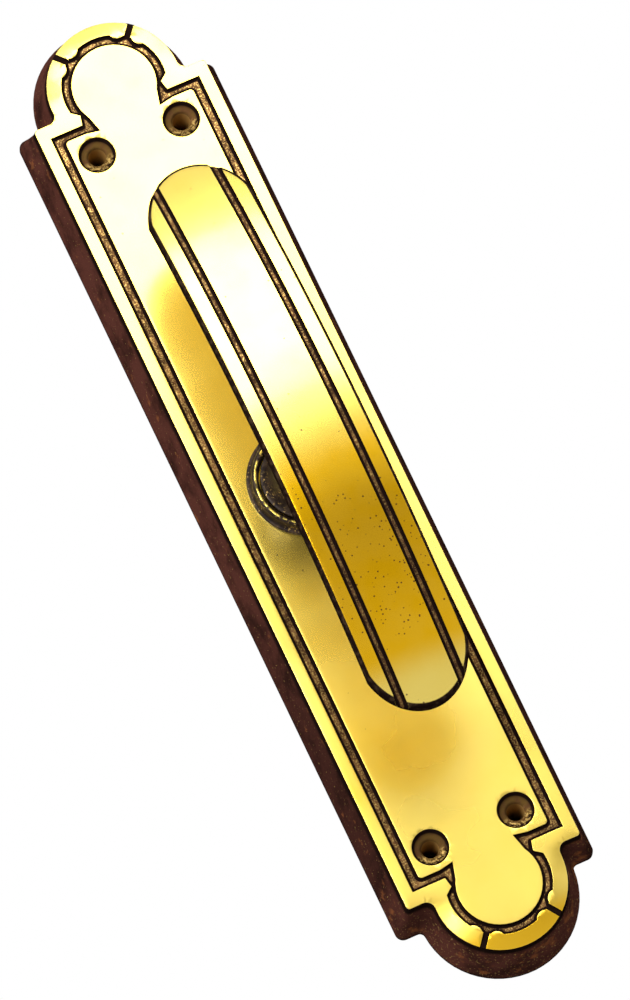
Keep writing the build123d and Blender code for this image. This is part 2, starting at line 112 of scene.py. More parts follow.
def turn(degrees, description):
    return FloatProperty(description=description, default=radians(degrees), subtype="ANGLE")


def tint(value, description):
    return FloatVectorProperty(description=description, default=value, subtype="COLOR", size=3)


class PlateSettings(bpy.types.PropertyGroup):
    """Sizes of the plate's finish that the frame doesn't give."""
    edge_width: metres(0.16 * MM, "Rounding of the relief's edges")
    edge_steps: IntProperty(description="Faces across a rounded edge", default=2, min=1, max=6)
    crease_angle: turn(32, "Edges sharper than this are relief edges")
    channel_depth: metres(0.9 * MM, "Depth of the sunk channels")
    stipple_height: metres(0.10 * MM, "Height of the cast stipple in the channels")
    face_grid: metres(1.3 * MM, "Spacing of the mesh on the polished face")
    floor_grid: metres(0.28 * MM, "Spacing of the mesh in the channels")
    lobe_centre: metres(96.3 * MM, "Height of the lobes' centres")
    ring_radius: metres(11.2 * MM, "Inner radius of the lobes' border")
    border_inner: metres(17.2 * MM, "From the middle to the border's inner edge")
    lobe_fall: plain(0.25, "Outward slope of the lobes' border")
    border_fall: plain(0.03, "Outward slope of the straight border")
    sink_radius: metres(4.3 * MM, "Radius of a screw's dished sink")


class GripSettings(bpy.types.PropertyGroup):
    """Sizes of the arched bar."""
    arch_radius: metres(176.5 * MM, "Radius of the bar's face along its length")
    end_reach: metres(14.0 * MM, "Length of each rounded end")
    end_widening: plain(1.04, "How much wider than the bar its rounded end is struck")
    thickness: metres(7.0 * MM, "Thickness at the middle of the section")
    side_height: metres(3.4 * MM, "Depth of the upright side below the face")
    crown: metres(0.45 * MM, "Rise of the face from its edges to its middle")
    edge_radius: metres(0.85 * MM, "Rounding along the face's edge")
    line_inner: metres(5.75 * MM, "From the middle to a sunk line's inner edge")
    line_width: metres(2.1 * MM, "Width of a sunk line")
    line_depth: metres(0.8 * MM, "Depth of a sunk line")
    line_slope: metres(0.2 * MM, "Width of a sunk line's sloping side")
    stipple_height: metres(0.08 * MM, "Height of the cast stipple in the lines")
    end_thickness: metres(3.0 * MM, "Thickness at the bar's ends")
    belly_flat: metres(0.3 * MM, "How far the belly is flattened at the middle")
    grid: metres(0.4 * MM, "Spacing of the mesh along the bar")


class HubSettings(bpy.types.PropertyGroup):
    """Sizes of the neck and the collar that the frame doesn't give."""
    bore: metres(4.98 * MM, "Radius of the hollow round the spindle")
    journal: metres(6.5 * MM, "Radius of the neck's journal")
    waist: metres(6.9 * MM, "Radius of the neck's waist")
    head: metres(9.6 * MM, "Radius of the neck's head and of the bar's pad")
    base_gap: metres(0.3 * MM, "Gap between the bush and the neck")
    base_height: metres(1.5 * MM, "Height of the neck's base")
    spigot_radius: metres(5.5 * MM, "Radius of the spigot in the bar")
    spigot_length: metres(4.0 * MM, "Length of the spigot in the bar")
    pad_height: metres(1.5 * MM, "Height of the bar's pad")
    collar_bore: metres(9.7 * MM, "Inner radius of the collar")
    collar_foot: metres(1.1 * MM, "How far the collar's foot stands out past its rim")
    collar_foot_height: metres(0.8 * MM, "Height of the collar's foot")
    bead: metres(0.7 * MM, "Height of the collar's rolled rim")
    edge: metres(0.2 * MM, "Break of the turned edges")


class FinishSettings(bpy.types.PropertyGroup):
    """Colours of the finishes, as they look in plain light. Some also carry painted light or shade, as their
    comments say.
    """
    brass: tint((0.87, 0.67, 0.135), "Polished brass")
    deep_brass: tint((0.80, 0.54, 0.045), "Warmer blotches in the polished brass")
    # Amber is painted darker reflection, laid on the bar's lower half and the plate's lower crown
    amber: tint((0.80, 0.45, 0.004), "Aged lacquer on the lower half of the bar")
    # Paler than cast brass, as painted light on the belly, which gets little light of its own
    as_cast_and_painted_light: tint((0.98, 0.88, 0.52), "Matt brass of the bar's unpolished belly")
    floor_brown: tint((0.26, 0.125, 0.045), "Patina on the floor of the channels")
    speck: tint((0.66, 0.43, 0.13), "Brass that shows through the patina")
    # Near black: patina in the hollows, and also painted shade and dark reflection along relief edges, on
    # the bar's sides and deep in the screw holes
    outline: tint((0.010, 0.005, 0.004), "Blackened corners and edges of the relief")
    wall: tint((0.085, 0.028, 0.020), "Brown lacquer of the plate's walls")
    rust: tint((0.30, 0.10, 0.03), "Copper coloured spots on the walls")
    dish: tint((0.115, 0.064, 0.017), "Olive brown of the screw holes")
    # The bores' yellow brown is made paler than the dish as painted light inside the shaded bores
    bore: tint((0.42, 0.24, 0.07), "Yellow brown inside the screw holes")
    hub: tint((0.040, 0.024, 0.014), "Darkened brass of the collar and the neck")


class StageSettings(bpy.types.PropertyGroup):
    """Camera, light and floor."""
    azimuth: turn(-8.576, "Camera's place round the part")
    elevation: turn(-15.699, "Camera's height over the horizon")
    roll: turn(-25.769, "Turn of the camera about its line of sight")
    distance: metres(2.6401, "From the camera to the plate's face")
    lens: plain(454.353, "Focal length in millimetres")
    aim: FloatVectorProperty(
        description="Point on the plate's face at the middle of the picture", size=3,
        subtype="TRANSLATION", default=(0.0000805, PLATE_LOW.y, -0.0049435))
    ambient: plain(0.42, "Level of the light that comes from all round")
    floor_drop: metres(1.0, "From the part's middle down to the floor")
    floor_size: metres(16.0, "Side of the square floor")
    floor_glow: plain(0.50, "Lift of the floor where it is looked at")
    flag_distance: metres(2.25, "From the part to the grey card behind the camera")
    flag_width: metres(3.0, "Width of the grey card")
    flag_low: metres(-0.97, "Height of the grey card's lower edge")
    flag_high: metres(0.225, "Height of the grey card's upper edge")


def maths(operation, swapped=False):
    """A method that adds a Math node. The reflected form of an operator swaps its two values."""
    def method(self, *others):
        values = others + (self,) if swapped else (self,) + others
        return self.finish.node("ShaderNodeMath", {"operation": operation}, dict(enumerate(values))).out(0)
    return method


class Signal:
    """A socket of a material in arithmetic: each operator adds its Math node."""
    __add__ = maths("ADD")
    __radd__ = maths("ADD", swapped=True)
    __sub__ = maths("SUBTRACT")
    __rsub__ = maths("SUBTRACT", swapped=True)
    __mul__ = maths("MULTIPLY")
    __rmul__ = maths("MULTIPLY", swapped=True)
    __lt__ = maths("LESS_THAN")
    root = maths("SQRT")
    size = maths("ABSOLUTE")
    sign = maths("SIGN")
    most = maths("MAXIMUM")
    least = maths("MINIMUM")

    def __init__(self, finish, socket):
        self.finish = finish
        self.socket = socket

    def ramp(self, low, high):
        """0 below low, 1 above high and smooth between them. Low may be the larger one."""
        inputs = {"Value": self, "From Min": low, "From Max": high}
        settings = {"interpolation_type": "SMOOTHSTEP"}
        return self.finish.node("ShaderNodeMapRange", settings, inputs).out(0)


class Placed:
    """A node of a finish that is already linked."""

    def __init__(self, finish, node):
        self.finish = finish
        self.node = node

    def out(self, key):
        return Signal(self.finish, self.node.outputs[key])


class Finish:
    """The node tree of a material or a world, emptied, and the few calls that fill it."""

    def __init__(self, name, owner=None):
        self.material = owner or bpy.data.materials.new(name)
        self.material.use_nodes = True
        self.tree = self.material.node_tree
        self.tree.nodes.clear()
        self.colours = bpy.context.scene.cremone_finish

    def node(self, kind, settings=None, sockets=None):
        """Adds one node of any kind: its settings first, then the values or links of its sockets."""
        node = self.tree.nodes.new(kind)
        for key, value in (settings or {}).items():
            setattr(node, key, value)
        for key, value in (sockets or {}).items():
            socket = node.inputs[key]
            if isinstance(value, Signal):
                self.tree.links.new(value.socket, socket)
            elif socket.type == "RGBA" and len(value) == 3:
                socket.default_value = (*value, 1.0)
            else:
                socket.default_value = value
        return Placed(self, node)

    def place(self):
        """Object coordinates, which stay with the piece as it moves."""
        return self.node("ShaderNodeTexCoord").out("Object")

    def axes(self):
        """The three object coordinates as numbers."""
        split = self.node("ShaderNodeSeparateXYZ", sockets={0: self.place()})
        return [split.out(k) for k in range(3)]

    def stored(self, layer):
        """A number that the relief meshes store at their vertices."""
        return self.node("ShaderNodeAttribute", {"attribute_name": layer}).out("Fac")

    def looking_back(self):
        """How squarely a surface looks at the door, less than 0 where it looks away from it."""
        normal = self.node("ShaderNodeNewGeometry").out("Normal")
        return self.node("ShaderNodeSeparateXYZ", sockets={0: normal}).out(1)

    def stretched(self, scale):
        """Object coordinates, scaled by a number for each axis."""
        sockets = {0: self.place(), 1: scale}
        return self.node("ShaderNodeVectorMath", {"operation": "MULTIPLY"}, sockets).out(0)

    def noise(self, scale, detail=2.0, roughness=0.5, place=None):
        """Cloudy noise between about 0.2 and 0.8."""
        sockets = {"Vector": place or self.place(), "Scale": scale, "Detail": detail, "Roughness": roughness}
        return self.node("ShaderNodeTexNoise", sockets=sockets).out(0)

    def cells(self, scale, output="Distance"):
        """Voronoi cells: distance to the nearest point or the cell's colour."""
        sockets = {"Vector": self.place(), "Scale": scale}
        return self.node("ShaderNodeTexVoronoi", sockets=sockets).out(output)

    def mix(self, factor, first, second):
        """A colour between two colours, each a value, a link or the name of a setting."""
        first, second = (getattr(self.colours, c) if isinstance(c, str) else c for c in (first, second))
        return self.node("ShaderNodeMix", {"data_type": "RGBA"}, {0: factor, 6: first, 7: second}).out(2)

    def bump(self, height):
        """A normal from a height, counted in bump depths."""
        return self.node("ShaderNodeBump", sockets={"Height": height, "Distance": BUMP_DEPTH}).out(0)

    def seen(self):
        """1 for what is looked at, directly, in a mirror or through glass, and 0 for plain light."""
        path = self.node("ShaderNodeLightPath")
        kinds = path.out("Is Camera Ray") + path.out("Is Glossy Ray") + path.out("Is Transmission Ray")
        return kinds.least(1.0)

    def clear_where(self, mask, shader):
        """A shader that is clear where a mask is 1."""
        clear = self.node("ShaderNodeBsdfTransparent").out(0)
        return self.node("ShaderNodeMixShader", sockets={0: mask, 1: shader, 2: clear}).out(0)

    def output(self, shader):
        """Links the finished shader to the output and returns the material."""
        self.node("ShaderNodeOutputMaterial", sockets={0: shader})
        return self.material

    def surface(self, **sockets):
        """The shader and the output. Names use a low line for a space."""
        named = {key.replace("_", " "): value for key, value in sockets.items()}
        return self.output(self.node("ShaderNodeBsdfPrincipled", sockets=named).out(0))

    def lacquered(self, colour, roughness, metal, coat, height):
        """Cast brass under a clear coat."""
        return self.surface(
            Base_Color=colour, Roughness=roughness, Metallic=metal, Coat_Weight=coat, Coat_Roughness=0.10,
            Coat_IOR=1.5, Specular_IOR_Level=0.0, Normal=self.bump(height))


def pitting(fin, spread):
    """Tiny dark pits of the casting, where spread is above 0. Returns a mask."""
    pits_per_metre = 1150.0
    cell = fin.node("ShaderNodeSeparateColor", sockets={0: fin.cells(pits_per_metre, "Color")})
    chosen = cell.out(0) < spread
    size = 0.10 + cell.out(1) * 0.15
    return (fin.cells(pits_per_metre) < size) * chosen


def brushing(fin):
    """Height of the fine lines that polishing leaves."""
    fine = fin.noise(1.0, 3.0, 0.6, fin.stretched((5200.0, 2500.0, 240.0)))
    broad = fin.noise(1.0, place=fin.stretched((900.0, 700.0, 90.0)))
    return fine * 0.6 + broad * 0.4


def cast_grain(fin):
    """Height of the rough skin that the mould leaves."""
    return fin.noise(1300.0, 3.0, 0.6) * 3.0


def stippled_colour(fin, darkening):
    """The channels' floor, brown between brass grains and black along its edges, and its grains."""
    fine = fin.noise(3200.0, 2.0, 0.6).ramp(0.40, 0.66)
    grain = (fin.stored("grain") * 0.65 + fine * 0.55).ramp(0.50, 0.86)
    cloud = fin.noise(330.0).ramp(0.36, 0.60)
    ground = fin.mix(cloud * 0.75, "floor_brown", "outline")
    ground = fin.mix(fine * 0.5, ground, "wall")
    grains = grain * (1.0 - cloud * 0.5)
    colour = fin.mix(grains, ground, "speck")
    # Black along the channel's sides: patina with painted shade of the corner
    edge = (fin.stored("shade") + (fine - 0.5) * 0.25).ramp(0.30, 0.62)
    colour = fin.mix(edge, colour, "outline")
    return fin.mix(darkening, colour, "outline"), grains * (1.0 - edge)


def wall_colour(fin, depth):
    """The plate's outer walls: black under the edge, then mottled red brown lacquer."""
    x, _, z = fin.axes()
    mottle = fin.noise(150.0, 3.0, 0.6).ramp(0.40, 0.72)
    worn_low = z.ramp(-78.0 * MM, -100.0 * MM)
    # Walls darker on the lower half, and darker along the right side as painted shade
    dim_low = z.ramp(0.0, -60.0 * MM) * (1.0 - worn_low)
    painted_shade_right = x.ramp(PLATE_HIGH.x - 3.0 * MM, PLATE_HIGH.x - 1.0 * MM)
    rust = fin.noise(240.0, 4.0, 0.65) + worn_low * 0.06
    specks = (fin.noise(1900.0, 2.0, 0.6) + worn_low * 0.05).ramp(0.66, 0.74)
    colour = fin.mix(mottle * 0.7, "wall", "outline")
    colour = fin.mix((dim_low * 0.5).most(painted_shade_right * 0.6), colour, "outline")
    colour = fin.mix(rust.ramp(0.60, 0.74) * 0.5, colour, "rust")
    colour = fin.mix(specks * 0.30, colour, "speck")
    under_edge = 1.0 - depth.ramp(2.0 * MM, 3.8 * MM)
    back_edge = depth.ramp(FACE_HEIGHT - 1.6 * MM, FACE_HEIGHT - 0.4 * MM)
    colour = fin.mix(under_edge.most(back_edge * 0.8), colour, "outline")
    cast = fin.mix(mottle * 0.6, "speck", "floor_brown")
    return fin.mix(fin.looking_back().ramp(0.4, 0.7), colour, cast)


def dish_colour(fin, depth):
    """A screw hole: black rim, olive dish with painted brass glints on its lower side, and a bore darkened
    deep down as painted shade.
    """
    z = fin.axes()[2]
    rise = (z.size() - SCREW_Z) * z.sign()
    # Painted glints on the lower side of the dish
    painted_glint = fin.noise(1500.0, 3.0, 0.6).ramp(0.45, 0.58) * rise.ramp(0.0, -2.0 * MM)
    dish = fin.mix(fin.noise(500.0).ramp(0.35, 0.65) * 0.5, "dish", "wall")
    # The bore's paler colour is painted light in its shade
    dish = fin.mix(depth.ramp(1.6 * MM, 2.4 * MM) * 0.8, dish, "bore")
    dish = fin.mix(painted_glint, dish, "speck")
    inset = depth - rise.ramp(0.0, -2.5 * MM) * (0.35 * MM)
    # Painted shade: the bore goes darker the deeper it lies
    floor = inset.ramp(0.95 * MM, 1.45 * MM) * (1.0 - depth.ramp(6.0 * MM, 12.0 * MM) * 0.6)
    floor = floor.most(painted_glint * depth.ramp(0.80 * MM, 1.20 * MM))
    return fin.mix(floor, "outline", dish), floor * painted_glint


def plate_finish():
    """Cast brass of the plate: polished face, stippled channels, browned walls and dark screw holes."""
    fin = Finish("cast_brass")
    settings = bpy.context.scene.cremone_plate
    x, _, z = fin.axes()
    depth = fin.stored("depth")
    sunk = depth.ramp(*SUNK_DEPTHS)
    shown = 1.0 - sunk
    floor = fin.stored("floor").ramp(0.90, 0.97)
    from_lobe = z.size() - settings.lobe_centre
    reach = (x * x + from_lobe * from_lobe).root()
    # The lower lobe's crown in amber is painted darker reflection
    low_crown = reach.ramp(settings.ring_radius - 0.8 * MM, settings.ring_radius)
    low_crown = low_crown * z.ramp(-102.0 * MM, -107.0 * MM)
    pits = pitting(fin, fin.noise(30.0, 1.0).ramp(0.45, 0.75) * 0.10)
    # Deeper gold towards the bottom is painted darker reflection, over random blotches and clouds
    blotch = fin.noise(24.0, 3.0, 0.55).ramp(0.42, 0.72) * (0.30 + z.ramp(0.0, -40.0 * MM) * 0.40)
    cloud = fin.noise(140.0).ramp(0.35, 0.75) * 0.12
    painted_low_reflection = z.ramp(-40.0 * MM, -90.0 * MM) * 0.30
    polished = fin.mix(blotch + cloud + painted_low_reflection, "brass", "deep_brass")
    polished = fin.mix(low_crown * 0.8, polished, "amber")
    polished = fin.mix(pits * 0.7, polished, "wall")
    # Channel floors darker towards the middle and the bottom
    darkening = z.size().ramp(90.0 * MM, 55.0 * MM) * 0.2 + z.ramp(30.0 * MM, -20.0 * MM) * 0.32
    stippled, grains = stippled_colour(fin, darkening)
    beside, along = x.size() - SCREW_X, z.size() - SCREW_Z
    hole = (beside * beside + along * along < settings.sink_radius ** 2) * (fin.looking_back() < 0.5)
    dish, painted_glint = dish_colour(fin, depth)
    walled = fin.mix(hole, wall_colour(fin, depth), dish)
    bright = grains * floor + painted_glint * hole
    satin = 0.17 + z.ramp(0.0, -50.0 * MM) * 0.06 + fin.noise(60.0) * 0.10
    swell = fin.noise(26.0) * 7.0 + brushing(fin) * 0.05 - pits * 1.2
    return fin.lacquered(
        colour=fin.mix(sunk, polished, fin.mix(floor, walled, stippled)),
        roughness=satin * shown + (0.55 - bright * 0.25) * sunk,
        metal=shown + sunk * (bright * 0.85),
        coat=shown * (0.6 - low_crown * 0.6),
        height=swell * shown + cast_grain(fin) * sunk)


def grip_finish():
    """Cast brass of the bar: polished face with amber lacquer low down, dark lines and sides."""
    fin = Finish("grip_finish")
    z = fin.axes()[2]
    line = fin.stored("depth").ramp(*SUNK_DEPTHS)
    facing = fin.looking_back()
    belly = facing.ramp(0.25, 0.50)
    # The bar's sides and a band along its edge go near black: painted dark reflection and shade, over some
    # patina
    rim = 1.0 - fin.stored("inset").ramp(0.62 * MM, 0.86 * MM)
    side = (1.0 - facing.size().ramp(0.70, 0.925)).most(rim) * (1.0 - line) * (1.0 - belly)
    sunk = line.most(side)
    shown = (1.0 - sunk) * (1.0 - belly)
    # The bar's lower half in amber is painted darker reflection
    low_half = z.ramp(2.0 * MM, -13.0 * MM) * (1.0 - z.ramp(-51.0 * MM, -59.0 * MM))
    blotch = fin.noise(30.0, 3.0, 0.55).ramp(0.40, 0.72)
    clouds = fin.noise(160.0).ramp(0.35, 0.75)
    spread = 0.03 + z.ramp(5.0 * MM, -15.0 * MM) * fin.noise(45.0, 1.0).ramp(0.36, 0.60) * 0.55
    pits = pitting(fin, spread)
    polished = fin.mix(blotch * 0.25 + clouds * 0.15, "brass", "deep_brass")
    polished = fin.mix(low_half * (0.90 + clouds * 0.10), polished, "amber")
    polished = fin.mix(pits * 0.8, polished, "wall")
    # Lines darker overall and more so towards the bottom
    stippled, grains = stippled_colour(fin, 0.35 + z.ramp(15.0 * MM, -30.0 * MM) * 0.30)
    # The belly's pale cast brass is partly painted light
    cast = fin.mix(clouds * 0.2, "as_cast_and_painted_light", "brass")
    dark_patina_and_shade = fin.mix(fin.noise(700.0, 3.0, 0.6).ramp(0.45, 0.70), "outline", "hub")
    face = fin.mix(side, fin.mix(line, polished, stippled), dark_patina_and_shade)
    satin = 0.17 + fin.noise(60.0) * 0.08
    swell = fin.noise(40.0) * 3.0 + brushing(fin) * 0.05 - pits * 1.5
    return fin.lacquered(
        colour=fin.mix(belly, face, cast),
        roughness=satin * shown + (0.55 - grains * 0.2) * sunk + belly * 0.5,
        metal=shown + line * grains * 0.85 + belly * 0.2,
        coat=shown * (0.55 - low_half * 0.55),
        height=swell * shown + cast_grain(fin) * sunk)


def hub_finish():
    """Darkened brass of the collar and the neck, with a bright line along the collar's rim: rubbed wear and
    painted highlight.
    """
    fin = Finish("darkened_brass")
    settings = bpy.context.scene.cremone_hub
    x, y, z = fin.axes()
    rim = (settings.collar_bore + COLLAR_HIGH.x - settings.collar_foot) / 2
    off_rim = ((x * x + z * z).root() - rim).size().ramp(0.08 * MM, 0.30 * MM)
    under_top = (y - COLLAR_LOW.y).ramp(0.2 * MM, 0.5 * MM)
    # The collar's rim line: rubbed brass and painted highlight
    rubbed_and_highlight = (1.0 - off_rim) * (1.0 - under_top) * fin.noise(420.0).ramp(0.40, 0.54)
    grain = fin.noise(2100.0, 3.0, 0.6)
    specks = grain.ramp(0.58, 0.68) * fin.noise(260.0, 1.0).ramp(0.42, 0.62)
    colour = fin.mix(fin.noise(480.0, 3.0, 0.6).ramp(0.38, 0.66), "outline", "hub")
    colour = fin.mix(specks * 0.7, colour, "speck")
    colour = fin.mix(rubbed_and_highlight, colour, "brass")
    bright = rubbed_and_highlight.most(specks * 0.6)
    return fin.surface(
        Base_Color=colour, Roughness=0.42 - bright * 0.18, Metallic=0.25 + bright * 0.75,
        Specular_IOR_Level=0.15, Normal=fin.bump(grain * 3.0))


def machined_steel(name, colour, grain_scale, roughness, tarnish):
    """Steel with the lines of its making and a little tarnish."""
    fin = Finish(name)
    lines = fin.noise(1.0, 3.0, 0.6, fin.stretched(grain_scale))
    cloud = fin.noise(110.0, 3.0, 0.55).ramp(0.40, 0.72)
    shade = fin.mix(cloud * 0.6, colour, tarnish)
    shade = fin.mix(lines.ramp(0.35, 0.70) * 0.25, shade, tuple(c * 0.6 for c in colour))
    return fin.surface(
        Base_Color=shade, Roughness=roughness + lines * 0.12 + cloud * 0.10, Metallic=1.0,
        Normal=fin.bump(lines * 1.5))


def nylon(name):
    """Natural nylon with a moulded grain."""
    fin = Finish(name)
    grain = fin.noise(1500.0, 3.0)
    cloud = fin.noise(90.0).ramp(0.35, 0.70)
    return fin.surface(
        Base_Color=fin.mix(cloud * 0.5, (0.80, 0.78, 0.70), (0.70, 0.66, 0.55)),
        Roughness=0.42 + grain * 0.15, Normal=fin.bump(grain * 1.5),
        Subsurface_Weight=0.15, Subsurface_Radius=(1.0, 0.9, 0.7), Subsurface_Scale=1.5 * MM)


def linked(name, data):
    """A new object in the scene."""
    thing = bpy.data.objects.new(name, data)
    bpy.context.scene.collection.objects.link(thing)
    return thing


def sheet(name, corners):
    """A flat sheet with four corners."""
    mesh = bpy.data.meshes.new(name)
    mesh.from_pydata(corners, [], [(0, 1, 2, 3)])
    return linked(name, mesh)


def new_piece(name, mesh, material, body, slot, *nodes):
    """Links a mesh as a piece that rides on a body, in place of its CAD nodes."""
    piece = linked(name, mesh)
    piece.data.materials.append(material)
    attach(piece, body)
    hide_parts(*nodes)
    return piece


def shaded_mesh(name, bm, crease):
    """The finished mesh, smooth but for edges where faces meet at more than an angle."""
    mesh = bpy.data.meshes.new(name)
    bm.to_mesh(mesh)
    bm.free()
    mesh.polygons.foreach_set("use_smooth", [True] * len(mesh.polygons))
    mesh.set_sharp_from_angle(angle=crease)
    mesh.update()
    return mesh


def bridge(bm, rings):
    """Faces from each ring of vertices to the next."""
    count = len(rings[0])
    for near, far in zip(rings, rings[1:]):
        for j in range(count):
            bm.faces.new((near[j], near[(j + 1) % count], far[(j + 1) % count], far[j]))


def turned_mesh(name, outline):
    """A turned mesh about the Y axis, from a closed outline of radius and height points."""
    steps = 128
    bm = bmesh.new()
    rings = []
    for k in range(steps):
        a = 2 * pi * k / steps
        rings.append([bm.verts.new((r * cos(a), -h, r * sin(a))) for r, h in outline])
    bridge(bm, rings + rings[:1])
    bmesh.ops.recalc_face_normals(bm, faces=bm.faces)
    return shaded_mesh(name, bm, radians(35))


def throat(wide, low, narrow, high, steps):
    """Points of a hollow throat, a quarter ellipse from a wide end to a narrow one."""
    turns = [pi / 2 * k / steps for k in range(steps + 1)]
    return [(wide - (wide - narrow) * sin(a), low + (high - low) * (1 - cos(a))) for a in turns]


def smoothstep(low, high, value):
    """0 below low, 1 above high and smooth between them."""
    share = max(0.0, min(1.0, (value - low) / (high - low)))
    return share * share * (3 - 2 * share)


def stipple(x, z):
    """Height of the cast stipple at a place, from 0 to 1."""
    coarse_size, fine_size = 0.34 * MM, 0.19 * MM
    coarse = noise.noise(Vector((x, z, 0.0)) / coarse_size)
    fine = noise.noise(Vector((x, z, 5.0 * MM)) / fine_size)
    return max(0.0, min(1.0, 0.5 + coarse * 0.85 + fine * 0.35))


def edge_shade(distance):
    """How black the floor lies at a distance from a channel's side: patina with painted shade of the corner.
    """
    return 1.0 - smoothstep(0.45 * MM, 0.90 * MM, distance)


class PlateBuilder(bpy.types.Operator):
    """Round the plate's relief edges, stipple its channels and give it its finish"""
    bl_idname = "cremone.plate"
    bl_label = "Plate"

    merge_distance = 0.001 * MM
    level_slack = 0.004 * MM
    level_normal = -0.999
    # Down to this many widths of the rounding, vertices fall with the face
    edge_share = 1.1
    # Where the lobe's fall takes over from the straight border's, from the lobe's centre
    lobe_blend = (-3.5 * MM, 4.0 * MM)
    # Shares of the grid's spacing
    rim_clearance = 0.45
    unevenness = 0.5

    def execute(self, context):
        self.set = context.scene.cremone_plate
        bm = bmesh.new()
        bm.from_mesh(frame["nodes"]["escutcheon_plate"].data)
        bmesh.ops.remove_doubles(bm, verts=bm.verts, dist=self.merge_distance)
        bmesh.ops.dissolve_limit(bm, angle_limit=radians(0.5), verts=bm.verts, edges=bm.edges)
        relief = [e for e in bm.edges if self.on_relief(e)]
        bmesh.ops.bevel(
            bm, geom=relief, offset=self.set.edge_width, segments=self.set.edge_steps, profile=0.5,
            affect="EDGES", clamp_overlap=True)
        layers = {name: bm.verts.layers.float.new(name) for name in RELIEF_LAYERS}
        floor = self.refill(bm, FACE_HEIGHT - self.set.channel_depth, self.set.floor_grid)
        self.refill(bm, FACE_HEIGHT, self.set.face_grid)
        for vert in bm.verts:
            vert[layers["depth"]] = max(0.0, vert.co.y + FACE_HEIGHT)
        for vert, distance in floor:
            shade = edge_shade(distance)
            grain = stipple(vert.co.x, vert.co.z)
            vert[layers["floor"]] = 1.0
            vert[layers["shade"]] = shade
            vert[layers["grain"]] = grain
            vert.co.y -= self.set.stipple_height * grain * (1.0 - shade)
        for vert in bm.verts:
            if vert[layers["depth"]] < self.set.edge_width * self.edge_share:
                vert.co.y += self.fall(vert.co.x, vert.co.z)
        mesh = shaded_mesh("plate", bm, radians(50))
        piece = new_piece("plate", mesh, plate_finish(), "root", "plate_brass", "escutcheon_plate")
        # Lets the large faces rule the shading at rounded edges
        modifier = piece.modifiers.new("shading", "WEIGHTED_NORMAL")
        modifier.keep_sharp = True
        modifier.weight = 80
        return {"FINISHED"}

    def on_relief(self, edge):
        """True for a sharp edge that lies in the plate's face."""
        level = all(abs(v.co.y + FACE_HEIGHT) < self.level_slack for v in edge.verts)
        return level and len(edge.link_faces) == 2 and edge.calc_face_angle() > self.set.crease_angle

    def fall(self, x, z):
        """How far polishing has rounded the face down: on the lobes' border and the long edges."""
        s = self.set
        reach = sqrt(x * x + (abs(z) - s.lobe_centre) ** 2)
        start, end = (s.lobe_centre + step for step in self.lobe_blend)
        on_lobe = smoothstep(start, end, abs(z))
        lobe = s.lobe_fall * max(0.0, reach - s.ring_radius) * on_lobe
        return lobe + s.border_fall * max(0.0, abs(x) - s.border_inner) * (1 - on_lobe)

    def refill(self, bm, level, spacing):
        """Meshes the flat faces at a height anew. Returns their vertices and distances from the rim."""
        faces = [f for f in bm.faces if self.lies_at(f, level)]
        chosen = set(faces)
        rim = [e for e in bm.edges if sum(f in chosen for f in e.link_faces) == 1]
        corners = {}
        for edge in rim:
            for vert in edge.verts:
                corners.setdefault(vert, len(corners))
        links = [(corners[e.verts[0]], corners[e.verts[1]]) for e in rim]
        near = self.rim_tree(rim, spacing)
        old_faces = BVHTree.FromBMesh(bm)
        places = [Vector((v.co.x, v.co.z)) / MM for v in corners]
        places += self.inner_places(old_faces, level, near, spacing)
        inside_outline = 1
        slack = 1e-6
        found, _, triangles, origins, _, _ = delaunay_2d_cdt(places, links, [], inside_outline, slack)
        bmesh.ops.delete(bm, geom=faces, context="FACES")
        old = list(corners)
        made = []
        for place, origin in zip(found, origins):
            if origin and origin[0] < len(old):
                made.append((old[origin[0]], 0.0))
            else:
                vert = bm.verts.new((place.x * MM, -level, place.y * MM))
                made.append((vert, near.find((vert.co.x, 0.0, vert.co.z))[2]))
        new = [bm.faces.new([made[k][0] for k in triangle]) for triangle in triangles]
        self.open_holes(bm, new, set(rim), old_faces, level)
        return [(vert, distance) for vert, distance in made if vert.is_valid]

    def open_holes(self, bm, new, rim, old_faces, level):
        """Takes away the new faces that a rim parts from the faces they stand in for."""
        filled = []
        left = dict.fromkeys(new)
        while left:
            patch = [left.popitem()[0]]
            for face in patch:
                for beside in [f for e in face.edges if e not in rim for f in e.link_faces]:
                    if beside in left:
                        del left[beside]
                        patch.append(beside)
            largest = max(patch, key=lambda f: f.calc_area())
            if not self.meets(old_faces, largest.calc_center_median(), level):
                filled += patch
        bmesh.ops.delete(bm, geom=filled, context="FACES")

    def lies_at(self, face, level):
        """True for a flat face at a height that looks away from the door."""
        level_face = all(abs(v.co.y + level) < self.level_slack for v in face.verts)
        return level_face and face.normal.y < self.level_normal

    def meets(self, tree, place, level):
        """True where a line of sight from the front first meets a surface at a height."""
        hit = tree.ray_cast(Vector((place.x, PLATE_LOW.y * 2, place.z)), Vector((0.0, 1.0, 0.0)))[0]
        return hit is not None and abs(hit.y + level) < self.level_slack

    @staticmethod
    def rim_tree(rim, spacing):
        """Points along the rim, to find the distance from it."""
        points = []
        for edge in rim:
            start, end = (v.co for v in edge.verts)
            count = int((end - start).length / (spacing / 2)) + 1
            points += [start.lerp(end, k / count) for k in range(count + 1)]
        tree = KDTree(len(points))
        for k, point in enumerate(points):
            tree.insert((point.x, 0.0, point.z), k)
        tree.balance()
        return tree

